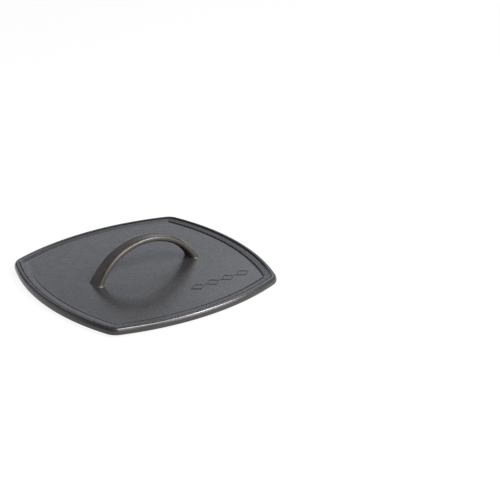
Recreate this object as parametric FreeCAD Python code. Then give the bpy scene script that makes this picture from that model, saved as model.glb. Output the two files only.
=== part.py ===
"""Grill press: one iron casting, modelled as the named regions it is made of.

Frame, in millimetres: the origin is on the face that the rib tips share, at the
middle of the plate. +Z is up through the handle, +X runs along the handle and the ribs.
Neighbouring regions meet face to face and never overlap.
"""
import FreeCAD, Part
import math
import os

Vector = FreeCAD.Vector

# Plan outline: a square with bowed sides and rounded corners.
PLATE_WIDTH = 210.0          # across the middle of two opposite sides
SIDE_RADIUS = 229.0          # bow of each side
CORNER_RADIUS = 15.0

# Heights, from the rib tips up.
RIB_HEIGHT = 2.5
PLATE_THICKNESS = 4.8        # underside to the flat top field
STEP_HEIGHT = 0.75           # border step above the field
RIM_HEIGHT = 1.9             # rim bead above the field

# Edge section: how far each level stands in from the widest line.
WIDEST_HEIGHT = 1.5          # underside to the widest line
BOTTOM_ROUND = 1.4
WALL_DRAFT = 0.18            # inset gained for each millimetre of height
RIM_WIDTH = 4.9              # widest line to the inner side of the rim bead
RIM_ROUND = 1.2
BORDER_WIDTH = 11.8          # widest line to the inner side of the border step
STEP_ROUND = 0.4

# Straight ribs on the underside.
RIB_COUNT = 13
RIB_PITCH = 13.5
RIB_TIP_WIDTH = 4.2
RIB_ROOT_WIDTH = 5.4
RIB_END_INSET = 7.2          # widest line to the rib's end, at the root
RIB_END_SLOPE = 0.6          # how much shorter the tip is at each end

# Crescent ribs, one beside each side that the straight ribs run along.
END_RIB_INSET = 7.8
END_RIB_WIDTH = 5.2
END_RIB_HALF_LENGTH = 58.0
END_RIB_POINT = 2.4          # width left at the two points
END_RIB_DRAFT = 0.6

# Handle: a three-arc arch of rounded-bar section, standing on two flared feet. It is
# built about the middle of the plate and then moved by HANDLE_OFFSET.
HANDLE_SPAN = 102.6          # between the centres of the feet, on the field
HANDLE_OFFSET = 1.0          # off centre, towards +X
HANDLE_RISE = 30.8           # field to the middle of the bar at the crown
CROWN_RADIUS = 60.7
CROWN_HALF_ANGLE = 22.8
BAR_WIDTH = 14.4
BAR_THICKNESS = 7.0
BAR_ROUND = 2.9
FOOT_HEIGHT = 6.0
FLARE_HEIGHT = 1.8
FOOT_NECK = (8.8, 15.4)      # along the handle, across it
FOOT_PAD = (11.0, 17.2)

# Ornament: a chain of raised open lozenges near one corner of the field.
LOZENGE_COUNT = 4
LOZENGE_LENGTH = 16.6
LOZENGE_HEIGHT = 12.0
LOZENGE_STROKE = 1.3
LOZENGE_RELIEF = 0.5
ORNAMENT_CENTRE = (43.5, -59.0)
LOZENGE_LAP = 0.8            # how far neighbouring points run into each other

HALF_WIDTH = PLATE_WIDTH / 2
BOW_CENTRE = SIDE_RADIUS - HALF_WIDTH      # a side's centre lies this far past the middle
UNDERSIDE = RIB_HEIGHT
WIDEST = UNDERSIDE + WIDEST_HEIGHT
FIELD = UNDERSIDE + PLATE_THICKNESS
RIM_TOP = FIELD + RIM_HEIGHT


def corner_centre():
    """Distance along X and Y of the point that a corner's arc turns about."""
    reach = SIDE_RADIUS - CORNER_RADIUS
    root = math.sqrt(2 * reach ** 2 - BOW_CENTRE ** 2)
    return (root - BOW_CENTRE) / 2


def outline(inset, z):
    """Closed wire of the plan outline at height z, moved inwards by inset."""
    corner = corner_centre()
    half_angle = math.atan2(corner, corner + BOW_CENTRE)
    side = SIDE_RADIUS - inset
    round_ = CORNER_RADIUS - inset
    side_end = Vector(side * math.cos(half_angle) - BOW_CENTRE, side * math.sin(half_angle), z)
    side_start = Vector(side_end.x, -side_end.y, z)
    side_middle = Vector(side - BOW_CENTRE, 0, z)
    diagonal = corner + round_ * math.sqrt(0.5)
    corner_middle = Vector(diagonal, diagonal, z)
    corner_end = Vector(side_end.y, side_end.x, z)
    edges = []
    for quarter in range(4):
        turn = FreeCAD.Rotation(Vector(0, 0, 1), 90 * quarter)
        side_points = [turn.multVec(p) for p in (side_start, side_middle, side_end)]
        corner_points = [turn.multVec(p) for p in (side_end, corner_middle, corner_end)]
        edges.append(Part.Arc(*side_points).toShape())
        edges.append(Part.Arc(*corner_points).toShape())
    return Part.Wire(edges)


def slab(low, high):
    """Solid between two outlines, each given as (inset, z)."""
    return Part.makeLoft([outline(*low), outline(*high)], True, True)


def wall_inset(z):
    return WALL_DRAFT * (z - WIDEST)


def round_edges(shape, z, radius):
    """Round every edge that lies wholly at height z."""
    edges = [e for e in shape.Edges if all(abs(v.Z - z) < 1e-6 for v in e.Vertexes)]
    return shape.makeFillet(radius, edges)


def base_plate():
    bottom = round_edges(slab((0, UNDERSIDE), (0, WIDEST)), UNDERSIDE, BOTTOM_ROUND)
    wall = slab((0, WIDEST), (wall_inset(FIELD), FIELD))
    return bottom.fuse(wall).removeSplitter()


def rim_bead():
    outer = slab((wall_inset(FIELD), FIELD), (wall_inset(RIM_TOP), RIM_TOP))
    inner = slab((RIM_WIDTH, FIELD), (RIM_WIDTH, RIM_TOP))
    return round_edges(outer.cut(inner), RIM_TOP, RIM_ROUND)


def border_step():
    top = FIELD + STEP_HEIGHT
    ring = slab((RIM_WIDTH, FIELD), (RIM_WIDTH, top))
    ring = ring.cut(slab((BORDER_WIDTH, FIELD), (BORDER_WIDTH, top)))
    inner_edges = []
    for edge in ring.Edges:
        at_top = all(abs(v.Z - top) < 1e-6 for v in edge.Vertexes)
        middle = edge.valueAt((edge.FirstParameter + edge.LastParameter) / 2)
        reach = max(abs(middle.x), abs(middle.y))
        if at_top and reach < HALF_WIDTH - (RIM_WIDTH + BORDER_WIDTH) / 2:
            inner_edges.append(edge)
    return ring.makeFillet(STEP_ROUND, inner_edges)


def rectangle(half_length, half_width, y, z):
    corners = [Vector(sx * half_length, y + sy * half_width, z)
               for sx, sy in ((-1, -1), (1, -1), (1, 1), (-1, 1), (-1, -1))]
    return Part.makePolygon(corners)


def straight_rib(y):
    """Rib along X whose ends follow the bowed sides."""
    end_radius = SIDE_RADIUS - RIB_END_INSET
    half_length = math.sqrt(end_radius ** 2 - y ** 2) - BOW_CENTRE
    tip = rectangle(half_length - RIB_END_SLOPE, RIB_TIP_WIDTH / 2, y, 0)
    root = rectangle(half_length, RIB_ROOT_WIDTH / 2, y, UNDERSIDE)
    return Part.makeLoft([tip, root], True, True)


def crescent(draft, z):
    """Closed wire of the crescent rib beside the +Y side, narrowed by draft."""
    half_length = END_RIB_HALF_LENGTH - draft
    outer_radius = SIDE_RADIUS - END_RIB_INSET - draft
    outer_middle = outer_radius - BOW_CENTRE
    outer_end = math.sqrt(outer_radius ** 2 - half_length ** 2) - BOW_CENTRE
    inner_middle = outer_middle - END_RIB_WIDTH + 2 * draft
    inner_end = outer_end - END_RIB_POINT + 2 * draft
    outer = [Vector(half_length, outer_end, z), Vector(0, outer_middle, z),
             Vector(-half_length, outer_end, z)]
    inner = [Vector(-half_length, inner_end, z), Vector(0, inner_middle, z),
             Vector(half_length, inner_end, z)]
    return Part.Wire([
        Part.Arc(*outer).toShape(),
        Part.makeLine(outer[2], inner[0]),
        Part.Arc(*inner).toShape(),
        Part.makeLine(inner[2], outer[0]),
    ])


def crescent_rib():
    return Part.makeLoft([crescent(END_RIB_DRAFT, 0), crescent(0, UNDERSIDE)], True, True)


def rounded_rectangle(length, width, radius):
    """Closed wire in the XY plane, centred on the origin, length along X."""
    x = length / 2 - radius
    y = width / 2 - radius
    arc_middle = radius * math.sqrt(0.5)
    edges = []
    corners = ((x, y, 0), (-x, y, 90), (-x, -y, 180), (x, -y, 270))
    for index, (cx, cy, angle) in enumerate(corners):
        turn = FreeCAD.Rotation(Vector(0, 0, 1), angle)
        centre = Vector(cx, cy, 0)
        arc = [centre + turn.multVec(p) for p in (
            Vector(radius, 0, 0), Vector(arc_middle, arc_middle, 0), Vector(0, radius, 0))]
        nx, ny, next_angle = corners[(index + 1) % 4]
        next_turn = FreeCAD.Rotation(Vector(0, 0, 1), next_angle)
        next_start = Vector(nx, ny, 0) + next_turn.multVec(Vector(radius, 0, 0))
        edges.append(Part.Arc(*arc).toShape())
        edges.append(Part.makeLine(arc[2], next_start))
    return Part.Wire(edges)


def shoulder_arc():
    """Radius and centre (x, height above the field) of the arc from crown to foot."""
    angle = math.radians(CROWN_HALF_ANGLE)
    half_span = HANDLE_SPAN / 2
    drop = CROWN_RADIUS - HANDLE_RISE
    square = half_span ** 2 + drop ** 2 - CROWN_RADIUS ** 2
    lean = half_span * math.sin(angle) + drop * math.cos(angle) - CROWN_RADIUS
    offset = square / (2 * lean)
    centre = (offset * math.sin(angle), offset * math.cos(angle) - drop)
    return CROWN_RADIUS - offset, centre


def foot_angle():
    """Angle from vertical at which the shoulder arc reaches the top of the foot."""
    radius, centre = shoulder_arc()
    return math.degrees(math.acos((FOOT_HEIGHT - centre[1]) / radius))


def bar_section(angle):
    """Section wire of the bar on the shoulder arc, at an angle from vertical."""
    radius, centre = shoulder_arc()
    wire = rounded_rectangle(BAR_THICKNESS, BAR_WIDTH, BAR_ROUND)
    wire.translate(Vector(radius, 0, 0))
    wire.rotate(Vector(0, 0, 0), Vector(0, 1, 0), angle - 90)
    wire.translate(Vector(centre[0], 0, FIELD + centre[1]))
    return wire


def mirrored(shape):
    return shape.mirror(Vector(0, 0, 0), Vector(1, 0, 0))


def handle_arch():
    _, centre = shoulder_arc()
    start = Part.Face(bar_section(CROWN_HALF_ANGLE))
    y_axis = Vector(0, 1, 0)
    shoulder_centre = Vector(centre[0], 0, FIELD + centre[1])
    crown_centre = Vector(0, 0, FIELD + HANDLE_RISE - CROWN_RADIUS)
    shoulder = start.revolve(shoulder_centre, y_axis, foot_angle() - CROWN_HALF_ANGLE)
    crown = start.revolve(crown_centre, y_axis, -2 * CROWN_HALF_ANGLE)
    return crown.fuse([shoulder, mirrored(shoulder)]).removeSplitter()


def handle_foot():
    """Foot under the +X end of the arch: the bar widens into the plate."""
    radius, centre = shoulder_arc()
    pad = rounded_rectangle(*FOOT_PAD, BAR_ROUND)
    pad.translate(Vector(HANDLE_SPAN / 2, 0, FIELD))
    neck_reach = math.sqrt(radius ** 2 - (FLARE_HEIGHT - centre[1]) ** 2)
    neck = rounded_rectangle(*FOOT_NECK, BAR_ROUND)
    neck.translate(Vector(centre[0] + neck_reach, 0, FIELD + FLARE_HEIGHT))
    return Part.makeLoft([pad, neck, bar_section(foot_angle())], True, True)


def lozenge(x, y, shrink, height):
    half_length = LOZENGE_LENGTH / 2 - shrink * LOZENGE_LENGTH / LOZENGE_HEIGHT
    half_height = LOZENGE_HEIGHT / 2 - shrink
    points = [Vector(x + half_length, y, FIELD), Vector(x, y + half_height, FIELD),
              Vector(x - half_length, y, FIELD), Vector(x, y - half_height, FIELD)]
    face = Part.Face(Part.makePolygon(points + points[:1]))
    return face.extrude(Vector(0, 0, height))


def ornament():
    """Chain of open lozenges, joined point to point."""
    pitch = LOZENGE_LENGTH - LOZENGE_LAP
    middle_x, y = ORNAMENT_CENTRE
    outer, inner = [], []
    for index in range(LOZENGE_COUNT):
        x = middle_x + (index - (LOZENGE_COUNT - 1) / 2) * pitch
        outer.append(lozenge(x, y, 0, LOZENGE_RELIEF))
        inner.append(lozenge(x, y, LOZENGE_STROKE, LOZENGE_RELIEF))
    return outer[0].fuse(outer[1:]).cut(inner).removeSplitter()


def parts():
    rib = crescent_rib()
    handle = {
        "handle_arch": handle_arch(),
        "handle_foot_right": handle_foot(),
        "handle_foot_left": mirrored(handle_foot()),
    }
    for shape in handle.values():
        shape.translate(Vector(HANDLE_OFFSET, 0, 0))
    nodes = {
        **handle,
        "base_plate": base_plate(),
        "rim_bead": rim_bead(),
        "border_step": border_step(),
        "end_rib_back": rib,
        "end_rib_front": rib.mirror(Vector(0, 0, 0), Vector(0, 1, 0)),
        "ornament": ornament(),
    }
    for index in range(RIB_COUNT):
        y = (index - (RIB_COUNT - 1) / 2) * RIB_PITCH
        nodes[f"rib_{index + 1:02d}"] = straight_rib(y)
    return nodes


os.makedirs("parts", exist_ok=True)
for name, shape in parts().items():
    solids = shape.Solids
    part = solids[0] if len(solids) == 1 else Part.makeCompound(solids)
    part.exportStep(f"parts/{name}.step")
    box = part.BoundBox
    print(f"{name}: {len(solids)} solid, valid {part.isValid()}, {part.Volume / 1000:.2f} cm3, "
          f"z {box.ZMin:.2f} to {box.ZMax:.2f}, {box.XLength:.2f} x {box.YLength:.2f}")
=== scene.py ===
"""Looks of the cast-iron grill press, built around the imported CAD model.

Where the surface runs on from one region of the casting to the next, they share one mesh:
the plate with its rim and step, and the handle with its feet. Lengths of the press are
written in millimetres and turned into metres with MM, and so is the camera's place.
"""
import math

import bpy
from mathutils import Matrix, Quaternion, Vector, noise


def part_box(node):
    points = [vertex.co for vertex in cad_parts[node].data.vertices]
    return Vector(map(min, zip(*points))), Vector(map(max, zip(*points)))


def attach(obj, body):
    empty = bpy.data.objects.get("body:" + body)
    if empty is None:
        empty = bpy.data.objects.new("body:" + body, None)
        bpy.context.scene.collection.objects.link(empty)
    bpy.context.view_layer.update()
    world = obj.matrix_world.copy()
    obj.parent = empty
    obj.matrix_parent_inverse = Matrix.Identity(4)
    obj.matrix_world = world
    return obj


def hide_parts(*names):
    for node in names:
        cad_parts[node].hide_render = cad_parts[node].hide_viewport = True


MM = 0.001

# Plan outline of the plate, as in the CAD.
SIDE_RADIUS = 229.0
CORNER_RADIUS = 15.0
SIDE_STEPS = 72
CORNER_STEPS = 22

# Edge section of the plate: insets from the widest outline, heights from the floor.
WIDEST_HEIGHT = 1.5          # from the underside up to the widest outline
WALL_DRAFT = 0.06            # how far the outer wall leans in for each unit of height
RIM_SPRING = 4.5             # height where the bead starts to round over
RIM_CREST = 2.9              # the bead reaches its full height here
RIM_SQUARENESS = 2.15        # 2 rounds the bead like an ellipse, more makes it squarer
RIM_FLANK = 3.6              # the bead's top is flat as far as here
RIM_FOOT = 6.3               # its inner flank ends here, and the band starts
BAND_TILT = 0.2              # the band falls this far either side of the CAD's level
BAND_END = 10.3              # the band ends here, and the step starts
STEP_FOOT = 12.9             # the step reaches the field here
FLANK_EASE = 0.5             # share of the flank that each of its ends takes to curve
STEP_EASE = 0.15             # and of the step
BOTTOM_STEPS = 8
BEAD_STEPS = 24
FLANK_STEPS = 10
BAND_STEPS = 5
STEP_STEPS = 20
FIELD_RINGS = 26
FIELD_WAVE = 0.02            # slow unevenness of the cast faces
FIELD_WAVE_LENGTH = 34.0

# Wear: 1 is rubbed smooth, 0 is plain and -1 is painted shade, darker and glossier.
DARK_LINES = ((4.9, 1.0, 1.0), (11.5, 1.1, 0.9))  # inset, half width and strength of the painted shade
BOTTOM_WEAR = 0.2
# slight painted shade over the bead
BEAD_SHADE = -0.05
RIB_TIP_WEAR = 1.0
RIB_FACE_WEAR = 0.5
ORNAMENT_WEAR = 0.3

# Ribs.
RIB_DRAFT = 0.24             # how far a rib narrows on each side for each unit of height
RIB_ROOT_FILLET = 1.0
RIB_TIP_ROUND = 0.9
RIB_FACE_INSET = 0.2         # from the tip's rounding to the flat face that closes the rib
RIB_CORNER = 1.2
SMALLEST_CORNER = 0.12
RIB_SIDE_STEPS = 48
RIB_CORNER_STEPS = 6
RIB_ROOT_STEPS = 6
RIB_TIP_STEPS = 8
END_RIB_INSET = 7.8
END_RIB_WIDTH = 5.2
END_RIB_HALF_LENGTH = 58.0
END_RIB_POINT = 2.4          # width left at each end
END_RIB_BLUNTNESS = 0.8      # how far the ends round out, as a share of a half circle
END_RIB_LEAST_WIDTH = 0.3
END_RIB_TRIM = 0.25          # a plan too narrow at its ends is shortened in these steps
END_RIB_STEPS = 6

# Handle.
HANDLE_SPAN = 102.6
HANDLE_RISE = 30.8
CROWN_RADIUS = 60.7
CROWN_HALF_ANGLE = 22.8
CROWN_BAR = (13.4, 6.7)      # width and thickness at the crown
FOOT_BAR = (16.2, 7.3)       # and at the field
BAR_SQUARENESS = 2.5
WORN_CORNER = 4              # the higher, the narrower the rubbed line along each corner
WEAR_HEIGHT = 8.0            # rubbing fades out from here down to the field
BAR_STATIONS = 110
STATION_CROWDING = 1.3       # above 1, the stations crowd together towards the feet
BAR_POINTS = 64
FOOT_FILLET = 1.2
FOOT_SINK = 2.2              # the bar's middle line runs on this far below the field

# Ornament.
LOZENGE_COUNT = 4
LOZENGE_LENGTH = 15.4
LOZENGE_STROKE = 1.3
LOZENGE_BEVEL = 0.2

BURIED = 0.3                 # how far a piece's hidden end reaches into the plate

# Noise in the iron: features in a metre, detail and roughness of the noise.
TONE_NOISE = (70, 6, 0.62)
RUBBED_NOISE = (420, 4, 0.5)
ROUGHNESS_NOISE = (110, 5, 0.5)
SAND_NOISE = (1500, 3, 0.6)
PIT_NOISE = (520, 3, 0.55)
NOISE_SPAN = (0.3, 0.7)      # values of the noise that are stretched to the full range
RUBBED_SPAN = (0.45, 0.7)

BARE_IRON = (0.16, 0.155, 0.15)
BARE_SHARE = 0.12            # the most that bare iron shows through where it is rubbed
# near-black colour of the painted shade
PAINTED_SHADE_COLOUR = (0.006, 0.006, 0.006)
SHADE_GLOSS = 0.11             # how much smoother the surface is where shade is painted
CLOUDY_ROUGHNESS = 0.02      # roughness drifts this far to either side

# Floor, in metres, and the world's light.
FLOOR_SIZE = 30
FLOOR_COLOUR = (0.08, 0.08, 0.08)
FLOOR_GLOW = 0.9
SKY_COLOUR = (0.93, 0.97, 1.0)
SKY_STRENGTH = 0.06
WARM = (1.0, 0.96, 0.94)     # colours of the lights
COOL = (0.84, 0.90, 1.0)

# Camera: the point it aims at, its distance from there, and its turns in degrees.
CAMERA_AIM = (86.69, -45.96, 20.0)
CAMERA_DISTANCE = 1452.4
CAMERA_AZIMUTH = -35.69
CAMERA_ELEVATION = 24.51
CAMERA_ROLL = -0.65
CAMERA_LENS = 113.57
CAMERA_SENSOR = 36.0

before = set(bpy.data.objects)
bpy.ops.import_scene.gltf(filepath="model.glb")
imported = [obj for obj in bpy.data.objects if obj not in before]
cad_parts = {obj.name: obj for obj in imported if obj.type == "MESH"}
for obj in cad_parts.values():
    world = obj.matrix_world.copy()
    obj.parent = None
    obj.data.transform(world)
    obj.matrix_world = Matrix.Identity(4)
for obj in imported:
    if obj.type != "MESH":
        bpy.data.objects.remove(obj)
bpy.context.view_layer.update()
plate_low, plate_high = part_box("base_plate")
HALF_WIDTH = plate_high.x / MM
UNDERSIDE = plate_low.z / MM
FIELD = plate_high.z / MM
RIM_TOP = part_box("rim_bead")[1].z / MM
STEP_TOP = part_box("border_step")[1].z / MM
HANDLE_OFFSET = sum(corner.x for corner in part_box("handle_arch")) / 2 / MM
BOW_CENTRE = SIDE_RADIUS - HALF_WIDTH


# ---------------------------------------------------------------- mesh helpers

def skin(name, loops, wear_and_shade, replaces):
    """Closed mesh over rings of points that all have the same count. The first and last rings are
    capped. The wear values give one value for each point, and negative ones are painted shade."""
    count = len(loops[0])
    vertices = [Vector(p) * MM for loop in loops for p in loop]
    faces = [list(range(count))[::-1]]
    for ring in range(len(loops) - 1):
        low, high = ring * count, (ring + 1) * count
        for i in range(count):
            j = (i + 1) % count
            faces.append([low + i, low + j, high + j, high + i])
    last = (len(loops) - 1) * count
    faces.append(list(range(last, last + count)))
    return piece(name, vertices, faces, wear_and_shade, replaces)


def piece(name, vertices, faces, wear_and_shade, replaces):
    mesh = bpy.data.meshes.new(name)
    mesh.from_pydata(vertices, [], faces)
    mesh.validate()
    mesh.shade_smooth()
    # per-point wear, and painted shade where the value is negative
    layer = mesh.attributes.new("wear_and_shade", "FLOAT", "POINT")
    layer.data.foreach_set("value", wear_and_shade)
    obj = bpy.data.objects.new(name, mesh)
    bpy.context.scene.collection.objects.link(obj)
    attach(obj, "root")
    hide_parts(*replaces)
    return obj


def wave(x, y, seed):
    """Slow unevenness, -1 to 1, that a sand-cast face has."""
    return noise.noise(Vector((x, y, seed)) / FIELD_WAVE_LENGTH)


def superellipse(turn, half_width, half_height, squareness):
    c, s = math.cos(turn), math.sin(turn)
    return (half_width * math.copysign(abs(c) ** (2 / squareness), c),
            half_height * math.copysign(abs(s) ** (2 / squareness), s))


# ---------------------------------------------------------------- plate

def corner_centre():
    """Where a corner's centre lies, equally far along x and y, to meet both sides smoothly."""
    reach = SIDE_RADIUS - CORNER_RADIUS
    root = math.sqrt(2 * reach ** 2 - BOW_CENTRE ** 2)
    return (root - BOW_CENTRE) / 2


def outline(inset):
    """Points of the plan outline moved inwards by inset, anticlockwise from the +X side."""
    corner = corner_centre()
    half_angle = math.atan2(corner, corner + BOW_CENTRE)
    quarter = []
    for step in range(SIDE_STEPS):
        angle = half_angle * (2 * step / SIDE_STEPS - 1)
        radius = SIDE_RADIUS - inset
        quarter.append((radius * math.cos(angle) - BOW_CENTRE, radius * math.sin(angle)))
    for step in range(CORNER_STEPS):
        angle = half_angle + (math.pi / 2 - 2 * half_angle) * step / CORNER_STEPS
        radius = CORNER_RADIUS - inset
        quarter.append((corner + radius * math.cos(angle), corner + radius * math.sin(angle)))
    points = list(quarter)
    for _ in range(3):
        quarter = [(-y, x) for x, y in quarter]
        points += quarter
    return points


def arc(inset, z, radius, start, end, steps):
    """Section points round a centre; 0 degrees faces outwards and 90 faces up."""
    points = []
    for step in range(steps + 1):
        angle = math.radians(start + (end - start) * step / steps)
        points.append((inset - radius * math.cos(angle), z + radius * math.sin(angle)))
    return points


def ramp(start, end, high, low, ease, steps):
    """Section points of a drop from one level to another. ease is the share of the run
    that each end takes to curve; the part between is straight."""
    points = []
    for step in range(1, steps + 1):
        share = step / steps
        from_end = min(share, 1 - share)
        curved = from_end ** 2 / (2 * ease)
        straight = from_end - ease / 2
        fall = (curved if from_end < ease else straight) / (1 - ease)
        fall = fall if share <= 0.5 else 1 - fall
        points.append((start + (end - start) * share, high + (low - high) * fall))
    return points


def painted_shade(inset):
    """Wear value of the border: painted shade, as negative wear, along the rim's inner flank and
    the step.
    """
    return -max(strength * math.exp(-((inset - middle) / half_width) ** 2)
                for middle, half_width, strength in DARK_LINES)


def edge_section():
    """(inset, z, wear value, negative where shade is painted) from the underside, round the wall
    and the rim, to the field.
    """
    widest = UNDERSIDE + WIDEST_HEIGHT
    bottom = arc(WIDEST_HEIGHT, widest, WIDEST_HEIGHT, -90, 0, BOTTOM_STEPS)
    spring_inset = WALL_DRAFT * (RIM_SPRING - widest)
    bead = []
    for step in range(BEAD_STEPS + 1):
        angle = math.pi / 2 * step / BEAD_STEPS
        out, up = superellipse(angle, RIM_CREST - spring_inset, RIM_TOP - RIM_SPRING,
                               RIM_SQUARENESS)
        bead.append((RIM_CREST - out, RIM_SPRING + up))
    band_high, band_low = STEP_TOP + BAND_TILT, STEP_TOP - BAND_TILT
    flank = [(RIM_FLANK, RIM_TOP)]
    flank += ramp(RIM_FLANK, RIM_FOOT, RIM_TOP, band_high, FLANK_EASE, FLANK_STEPS)
    band = [(RIM_FOOT + (BAND_END - RIM_FOOT) * k / BAND_STEPS,
             band_high + (band_low - band_high) * k / BAND_STEPS)
            for k in range(1, BAND_STEPS + 1)]
    step_edge = ramp(BAND_END, STEP_FOOT, band_low, FIELD, STEP_EASE, STEP_STEPS)
    section = [(inset, z, BOTTOM_WEAR) for inset, z in bottom]
    section += [(inset, z, BEAD_SHADE) for inset, z in bead]
    section += [(inset, z, painted_shade(inset)) for inset, z in flank + band + step_edge]
    return section


def make_plate():
    """Plate, rim bead and border step as one skin."""
    loops, wear_and_shade = [], []

    def add(points, z, value):
        loops.append([(x, y, z + FIELD_WAVE * wave(x, y, z)) for x, y in points])
        wear_and_shade.extend([value] * len(loops[-1]))

    under = outline(STEP_FOOT)
    for ring in range(1, FIELD_RINGS + 1):
        share = ring / FIELD_RINGS
        add([(x * share, y * share) for x, y in under], UNDERSIDE, 0.0)
    for inset, z, value in edge_section():
        add(outline(inset), z, value)
    for ring in range(FIELD_RINGS - 1, 0, -1):
        share = ring / FIELD_RINGS
        add([(x * share, y * share) for x, y in under], FIELD, 0.0)
    return skin("plate_casting", loops, wear_and_shade,
                ("base_plate", "rim_bead", "border_step"))


# ---------------------------------------------------------------- ribs

def rib_section():
    """(outset, height, wear) from the buried root to the flat face of a rib. The ribs stand
    on the floor, so they are as tall as the plate's underside is high."""
    height = UNDERSIDE
    lean = math.atan(RIB_DRAFT)
    root_centre = RIB_ROOT_FILLET / math.cos(lean) - RIB_DRAFT * RIB_ROOT_FILLET
    section = [(root_centre, -BURIED, 0.0)]
    for step in range(RIB_ROOT_STEPS + 1):
        angle = -math.pi / 2 - (math.pi / 2 - lean) * step / RIB_ROOT_STEPS
        section.append((root_centre + RIB_ROOT_FILLET * math.cos(angle),
                        RIB_ROOT_FILLET * (1 + math.sin(angle)), 0.0))
    tip_height = height - RIB_TIP_ROUND
    touch = tip_height + RIB_TIP_ROUND * math.sin(lean)
    tip_centre = -RIB_DRAFT * touch - RIB_TIP_ROUND * math.cos(lean)
    for step in range(RIB_TIP_STEPS + 1):
        angle = lean + (math.pi / 2 - lean) * step / RIB_TIP_STEPS
        section.append((tip_centre + RIB_TIP_ROUND * math.cos(angle),
                        tip_height + RIB_TIP_ROUND * math.sin(angle), RIB_TIP_WEAR))
    section.append((tip_centre - RIB_FACE_INSET, height, RIB_FACE_WEAR))
    return section


def rib_skin(node, plan_at):
    """Skin of one rib. plan_at gives the plan, anticlockwise, grown by an outset."""
    loops, wear_and_shade = [], []
    for outset, height, value in rib_section():
        loops.append([(x, y, UNDERSIDE - height) for x, y in reversed(plan_at(outset))])
        wear_and_shade.extend([value] * len(loops[-1]))
    return skin(node.replace("rib", "grill_rib"), loops, wear_and_shade, (node,))


def rounded_bar(half_length, half_width, radius):
    """Plan of a straight rib, anticlockwise, with subdivided long sides."""
    radius = max(radius, SMALLEST_CORNER)
    x, y = half_length - radius, half_width - radius
    points = []
    for sx, sy, start in ((1, -1, -90), (1, 1, 0), (-1, 1, 90), (-1, -1, 180)):
        for step in range(RIB_CORNER_STEPS + 1):
            angle = math.radians(start + 90 / RIB_CORNER_STEPS * step)
            points.append((sx * x + radius * math.cos(angle), sy * y + radius * math.sin(angle)))
        if sx == sy:
            points += [(sx * (x - 2 * x * k / RIB_SIDE_STEPS), sy * (y + radius))
                       for k in range(1, RIB_SIDE_STEPS)]
    return points


def make_straight_rib(node):
    low, high = (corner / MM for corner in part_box(node))
    middle = (low + high) / 2
    half_length, half_width = (high.x - low.x) / 2, (high.y - low.y) / 2

    def plan_at(outset):
        plan = rounded_bar(half_length + outset, half_width + outset, RIB_CORNER + outset)
        return [(x, y + middle.y) for x, y in plan]

    return rib_skin(node, plan_at)


def crescent_plan(outset):
    """Plan of the +Y crescent rib, grown by outset, anticlockwise."""
    outer_radius = SIDE_RADIUS - END_RIB_INSET
    outer_middle = outer_radius - BOW_CENTRE
    outer_end = math.sqrt(outer_radius ** 2 - END_RIB_HALF_LENGTH ** 2) - BOW_CENTRE
    inner_middle = outer_middle - END_RIB_WIDTH
    sag = inner_middle - (outer_end - END_RIB_POINT)
    inner_radius = (END_RIB_HALF_LENGTH ** 2 + sag ** 2) / (2 * sag)
    grown_outer, grown_inner = outer_radius + outset, inner_radius - outset
    inner_centre = inner_middle - inner_radius

    def edges(x):
        return (math.sqrt(grown_outer ** 2 - x ** 2) - BOW_CENTRE,
                math.sqrt(grown_inner ** 2 - x ** 2) + inner_centre)

    half_length = END_RIB_HALF_LENGTH + min(outset, 0)
    while edges(half_length)[0] - edges(half_length)[1] < END_RIB_LEAST_WIDTH:
        half_length -= END_RIB_TRIM
    outer, inner = edges(half_length)
    end_y, end_half = (outer + inner) / 2, (outer - inner) / 2
    points = []
    for side, edge, start in ((-1, 0, 90), (1, 1, -90)):
        for k in range(RIB_SIDE_STEPS + 1):
            x = side * half_length * (2 * k / RIB_SIDE_STEPS - 1)
            points.append((x, edges(x)[edge]))
        for k in range(1, END_RIB_STEPS):
            angle = math.radians(start + 180 / END_RIB_STEPS * k)
            points.append((side * half_length + end_half * math.cos(angle) * END_RIB_BLUNTNESS,
                           end_y + end_half * math.sin(angle)))
    return points


def make_crescent_rib(node, side):
    """Crescent rib on the +Y side, or on the -Y side as its mirror image."""
    return rib_skin(node, lambda outset: [(x, side * y) for x, y in crescent_plan(outset)[::side]])


# ---------------------------------------------------------------- handle

def shoulder_arc():
    """Radius and centre (x, height above the field) of the arc from crown to foot."""
    angle = math.radians(CROWN_HALF_ANGLE)
    half_span, drop = HANDLE_SPAN / 2, CROWN_RADIUS - HANDLE_RISE
    square = half_span ** 2 + drop ** 2 - CROWN_RADIUS ** 2
    lean = half_span * math.sin(angle) + drop * math.cos(angle) - CROWN_RADIUS
    offset = square / (2 * lean)
    return CROWN_RADIUS - offset, offset * math.sin(angle), offset * math.cos(angle) - drop


def bar_middle(angle):
    """(x, height above the field) of the bar's middle line, angle from vertical."""
    if abs(angle) <= math.radians(CROWN_HALF_ANGLE):
        return (CROWN_RADIUS * math.sin(angle),
                CROWN_RADIUS * math.cos(angle) - CROWN_RADIUS + HANDLE_RISE)
    radius, x, z = shoulder_arc()
    side = math.copysign(1, angle)
    return side * x + radius * math.sin(angle), z + radius * math.cos(angle)


def fillet_spread(height):
    """How far the foot stands out, from its fillet into the plate, at a height."""
    missing = min(max(FOOT_FILLET - height, 0), FOOT_FILLET)
    return FOOT_FILLET - math.sqrt(FOOT_FILLET ** 2 - missing ** 2)


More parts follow.
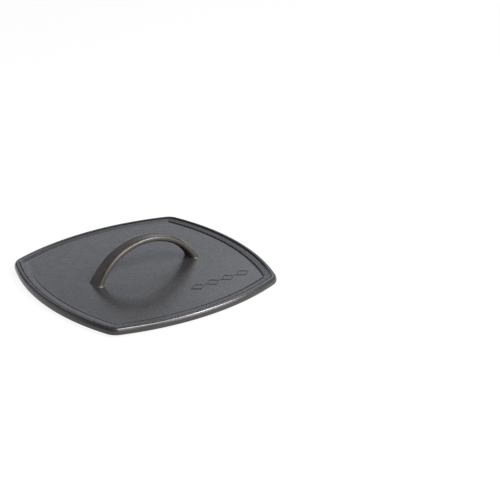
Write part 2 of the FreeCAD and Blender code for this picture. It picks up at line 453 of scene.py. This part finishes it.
def make_handle():
    """Arch and feet as one bar that widens downwards and flares into the plate."""
    radius, _, centre_z = shoulder_arc()
    end_angle = math.acos(-(centre_z + FOOT_SINK) / radius)
    loops, wear_and_shade = [], []
    for station in range(BAR_STATIONS + 1):
        share = 2 * station / BAR_STATIONS - 1
        angle = end_angle * math.copysign(1 - (1 - abs(share)) ** STATION_CROWDING, share)
        middle_x, middle_height = bar_middle(angle)
        spread = 1 - middle_height / HANDLE_RISE
        width, thick = (a + (b - a) * spread for a, b in zip(CROWN_BAR, FOOT_BAR))
        rubbing = min(max(middle_height / WEAR_HEIGHT, 0), 1)
        loop = []
        for k in range(BAR_POINTS):
            turn = 2 * math.pi * k / BAR_POINTS
            wear_and_shade.append(rubbing * abs(math.sin(2 * turn)) ** WORN_CORNER)
            across, out = superellipse(turn, width / 2, thick / 2, BAR_SQUARENESS)
            point = Vector((out * math.sin(angle), across))
            height = middle_height + out * math.cos(angle)
            point += point.normalized() * fillet_spread(height)
            loop.append((HANDLE_OFFSET + middle_x + point.x, point.y, FIELD + height))
        loops.append(loop)
    return skin("handle", loops, wear_and_shade,
                ("handle_arch", "handle_foot_left", "handle_foot_right"))


# ---------------------------------------------------------------- ornament

def make_ornament():
    """Chain of raised open lozenges, each a closed ring with bevelled edges."""
    low, high = (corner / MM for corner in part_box("ornament"))
    relief = high.z - FIELD
    half_height = (high.y - low.y) / 2
    pitch = (high.x - low.x - LOZENGE_LENGTH) / (LOZENGE_COUNT - 1)
    section = [(0, -BURIED), (0, relief - LOZENGE_BEVEL), (LOZENGE_BEVEL, relief),
               (LOZENGE_STROKE - LOZENGE_BEVEL, relief),
               (LOZENGE_STROKE, relief - LOZENGE_BEVEL), (LOZENGE_STROKE, -BURIED)]
    slant = LOZENGE_LENGTH / 2 / half_height
    vertices, faces = [], []
    for index in range(LOZENGE_COUNT):
        middle_x = low.x + LOZENGE_LENGTH / 2 + index * pitch
        middle_y = (low.y + high.y) / 2
        start = len(vertices)
        for shrink, height in section:
            x, y = LOZENGE_LENGTH / 2 - shrink * slant, half_height - shrink
            for dx, dy in ((x, 0), (0, y), (-x, 0), (0, -y)):
                vertices.append(Vector((middle_x + dx, middle_y + dy, FIELD + height)) * MM)
        rings = len(section)
        for ring in range(rings):
            here, there = start + 4 * ring, start + 4 * ((ring + 1) % rings)
            for i in range(4):
                j = (i + 1) % 4
                faces.append([here + i, here + j, there + j, there + i])
    obj = piece("raised_ornament", vertices, faces, [ORNAMENT_WEAR] * len(vertices),
                ("ornament",))
    obj.data.shade_flat()
    return obj


# ---------------------------------------------------------------- materials

def cast_iron(name, dark, light, ior, roughness, polish, grain, specks):
    """Seasoned cast iron: fine sandy grain, cloudy tone, rubbed edges, and painted shade where the
    wear value is negative.
    polish is how much smoother rubbed iron is; grain and specks are depths in millimetres."""
    material = bpy.data.materials.new(name)
    material.use_nodes = True
    nodes, links = material.node_tree.nodes, material.node_tree.links
    shader = nodes["Principled BSDF"]
    shader.inputs["Metallic"].default_value = 0.0
    shader.inputs["IOR"].default_value = ior
    place = nodes.new("ShaderNodeTexCoord")

    def cloud(scale, detail, noise_roughness):
        node = nodes.new("ShaderNodeTexNoise")
        node.inputs["Scale"].default_value = scale
        node.inputs["Detail"].default_value = detail
        node.inputs["Roughness"].default_value = noise_roughness
        links.new(place.outputs["Object"], node.inputs["Vector"])
        return node.outputs["Fac"]

    def remap(value, low, high, out_low, out_high):
        node = nodes.new("ShaderNodeMapRange")
        for socket, number in zip(("From Min", "From Max", "To Min", "To Max"),
                                  (low, high, out_low, out_high)):
            node.inputs[socket].default_value = number
        links.new(value, node.inputs["Value"])
        return node.outputs["Result"]

    def math_node(operation, a, b):
        node = nodes.new("ShaderNodeMath")
        node.operation = operation
        for socket, value in zip(node.inputs, (a, b)):
            if isinstance(value, float):
                socket.default_value = value
            else:
                links.new(value, socket)
        return node.outputs[0]

    tone = nodes.new("ShaderNodeMix")
    tone.data_type = "RGBA"
    tone.inputs["A"].default_value = (*dark, 1)
    tone.inputs["B"].default_value = (*light, 1)
    links.new(remap(cloud(*TONE_NOISE), *NOISE_SPAN, 0.0, 1.0), tone.inputs["Factor"])

    wear_and_shade = nodes.new("ShaderNodeAttribute")
    wear_and_shade.attribute_name = "wear_and_shade"
    worn = remap(wear_and_shade.outputs["Fac"], 0.0, 1.0, 0.0, 1.0)
    # negative wear values are painted shade: the colour darkens and the surface gets glossier
    shade_mask = remap(wear_and_shade.outputs["Fac"], -1.0, 0.0, 1.0, 0.0)
    patches = remap(cloud(*RUBBED_NOISE), *RUBBED_SPAN, 0.0, BARE_SHARE)
    rubbed = math_node("MULTIPLY", worn, patches)
    bare = nodes.new("ShaderNodeMix")
    bare.data_type = "RGBA"
    bare.inputs["B"].default_value = (*BARE_IRON, 1)
    links.new(tone.outputs["Result"], bare.inputs["A"])
    links.new(rubbed, bare.inputs["Factor"])
    shaded_colour = nodes.new("ShaderNodeMix")
    shaded_colour.data_type = "RGBA"
    shaded_colour.inputs["B"].default_value = (*PAINTED_SHADE_COLOUR, 1)
    links.new(bare.outputs["Result"], shaded_colour.inputs["A"])
    links.new(shade_mask, shaded_colour.inputs["Factor"])
    links.new(shaded_colour.outputs["Result"], shader.inputs["Base Color"])

    base_rough = remap(cloud(*ROUGHNESS_NOISE), *NOISE_SPAN,
                       roughness - CLOUDY_ROUGHNESS, roughness + CLOUDY_ROUGHNESS)
    smoothed = math_node("SUBTRACT", base_rough, math_node("MULTIPLY", worn, polish))
    glossed = math_node("SUBTRACT", smoothed, math_node("MULTIPLY", shade_mask, SHADE_GLOSS))
    links.new(glossed, shader.inputs["Roughness"])

    sand = nodes.new("ShaderNodeBump")
    sand.inputs["Strength"].default_value = 1.0
    sand.inputs["Distance"].default_value = grain * MM
    links.new(cloud(*SAND_NOISE), sand.inputs["Height"])
    pits = nodes.new("ShaderNodeBump")
    pits.inputs["Strength"].default_value = 1.0
    pits.inputs["Distance"].default_value = specks * MM
    links.new(cloud(*PIT_NOISE), pits.inputs["Height"])
    links.new(sand.outputs["Normal"], pits.inputs["Normal"])
    links.new(pits.outputs["Normal"], shader.inputs["Normal"])
    return material


# ---------------------------------------------------------------- stage

def make_floor():
    bpy.ops.mesh.primitive_plane_add(size=FLOOR_SIZE)
    floor = bpy.context.object
    floor.name = "floor"
    material = bpy.data.materials.new("pale_floor")
    material.use_nodes = True
    shader = material.node_tree.nodes["Principled BSDF"]
    shader.inputs["Base Color"].default_value = (*FLOOR_COLOUR, 1)
    shader.inputs["Roughness"].default_value = 1.0
    shader.inputs["Specular IOR Level"].default_value = 0.0
    shader.inputs["Emission Color"].default_value = (1, 1, 1, 1)
    shader.inputs["Emission Strength"].default_value = FLOOR_GLOW
    floor.data.materials.append(material)


def soft_box(name, place, size, power, colour):
    """Area light that faces the press: its place and size in metres and power in watts."""
    light = bpy.data.lights.new(name, "AREA")
    light.color = colour
    light.shape = "RECTANGLE"
    light.size, light.size_y = size
    light.energy = power
    obj = bpy.data.objects.new(name, light)
    obj.location = place
    obj.rotation_mode = "QUATERNION"
    obj.rotation_quaternion = Vector(place).to_track_quat("Z", "Y")
    bpy.context.scene.collection.objects.link(obj)


def make_light():
    world = bpy.data.worlds.new("studio")
    bpy.context.scene.world = world
    world.use_nodes = True
    background = world.node_tree.nodes["Background"]
    background.inputs["Color"].default_value = (*SKY_COLOUR, 1)
    background.inputs["Strength"].default_value = SKY_STRENGTH
    soft_box("front_box", (0.65, -1.22, 0.80), (1.2, 1.4), 28, WARM)
    soft_box("front_core", (0.70, -0.80, 1.06), (0.40, 0.40), 24, WARM)
    soft_box("high_left", (-0.12, -0.96, 1.15), (0.6, 0.3), 18, WARM)
    soft_box("left_strip", (-0.38, -1.40, 0.68), (0.5, 1.0), 8, WARM)
    soft_box("back_panel", (1.459, 1.005, 1.45), (1.37, 1.35), 12.0, COOL)
    soft_box("back_strip", (0.62, 1.94, 0.84), (1.45, 0.42), 2.8, COOL)
    soft_box("back_left_panel", (-1.285, 1.427, 0.55), (1.55, 1.15), 5, WARM)


def make_camera():
    aim, distance = Vector(CAMERA_AIM) * MM, CAMERA_DISTANCE * MM
    azimuth, elevation, roll = (math.radians(angle) for angle in
                                (CAMERA_AZIMUTH, CAMERA_ELEVATION, CAMERA_ROLL))
    back = Vector((math.sin(azimuth) * math.cos(elevation),
                   -math.cos(azimuth) * math.cos(elevation), math.sin(elevation)))
    data = bpy.data.cameras.new("camera")
    data.lens = CAMERA_LENS
    data.sensor_width = CAMERA_SENSOR
    camera = bpy.data.objects.new("camera", data)
    camera.location = aim + back * distance
    camera.rotation_mode = "QUATERNION"
    camera.rotation_quaternion = back.to_track_quat("Z", "Y") @ Quaternion((0, 0, 1), roll)
    bpy.context.scene.collection.objects.link(camera)
    bpy.context.scene.camera = camera


make_camera()
make_light()
make_floor()
plate_iron = cast_iron("plate_iron", dark=(0.016, 0.0154, 0.016), light=(0.021, 0.0202, 0.0207),
                       ior=1.52, roughness=0.27, polish=0.12, grain=0.012, specks=0.015)
handle_iron = cast_iron("handle_iron", dark=(0.022, 0.0195, 0.0175), light=(0.030, 0.0265, 0.024),
                        ior=1.5, roughness=0.52, polish=0.34, grain=0.012, specks=0.015)
rib_iron = cast_iron("rib_iron", dark=(0.026, 0.023, 0.021), light=(0.042, 0.037, 0.033),
                     ior=1.52, roughness=0.38, polish=0.12, grain=0.02, specks=0.02)
plate_pieces = [make_plate(), make_ornament()]
handle = make_handle()
ribs = [make_straight_rib(node) for node in sorted(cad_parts) if node.startswith("rib_")]
ribs += [make_crescent_rib("end_rib_back", 1), make_crescent_rib("end_rib_front", -1)]
for iron, pieces in ((plate_iron, plate_pieces), (handle_iron, [handle]), (rib_iron, ribs)):
    for obj in pieces:
        obj.data.materials.append(iron)

bpy.context.scene.view_settings.view_transform = "Standard"
bpy.context.view_layer.update()
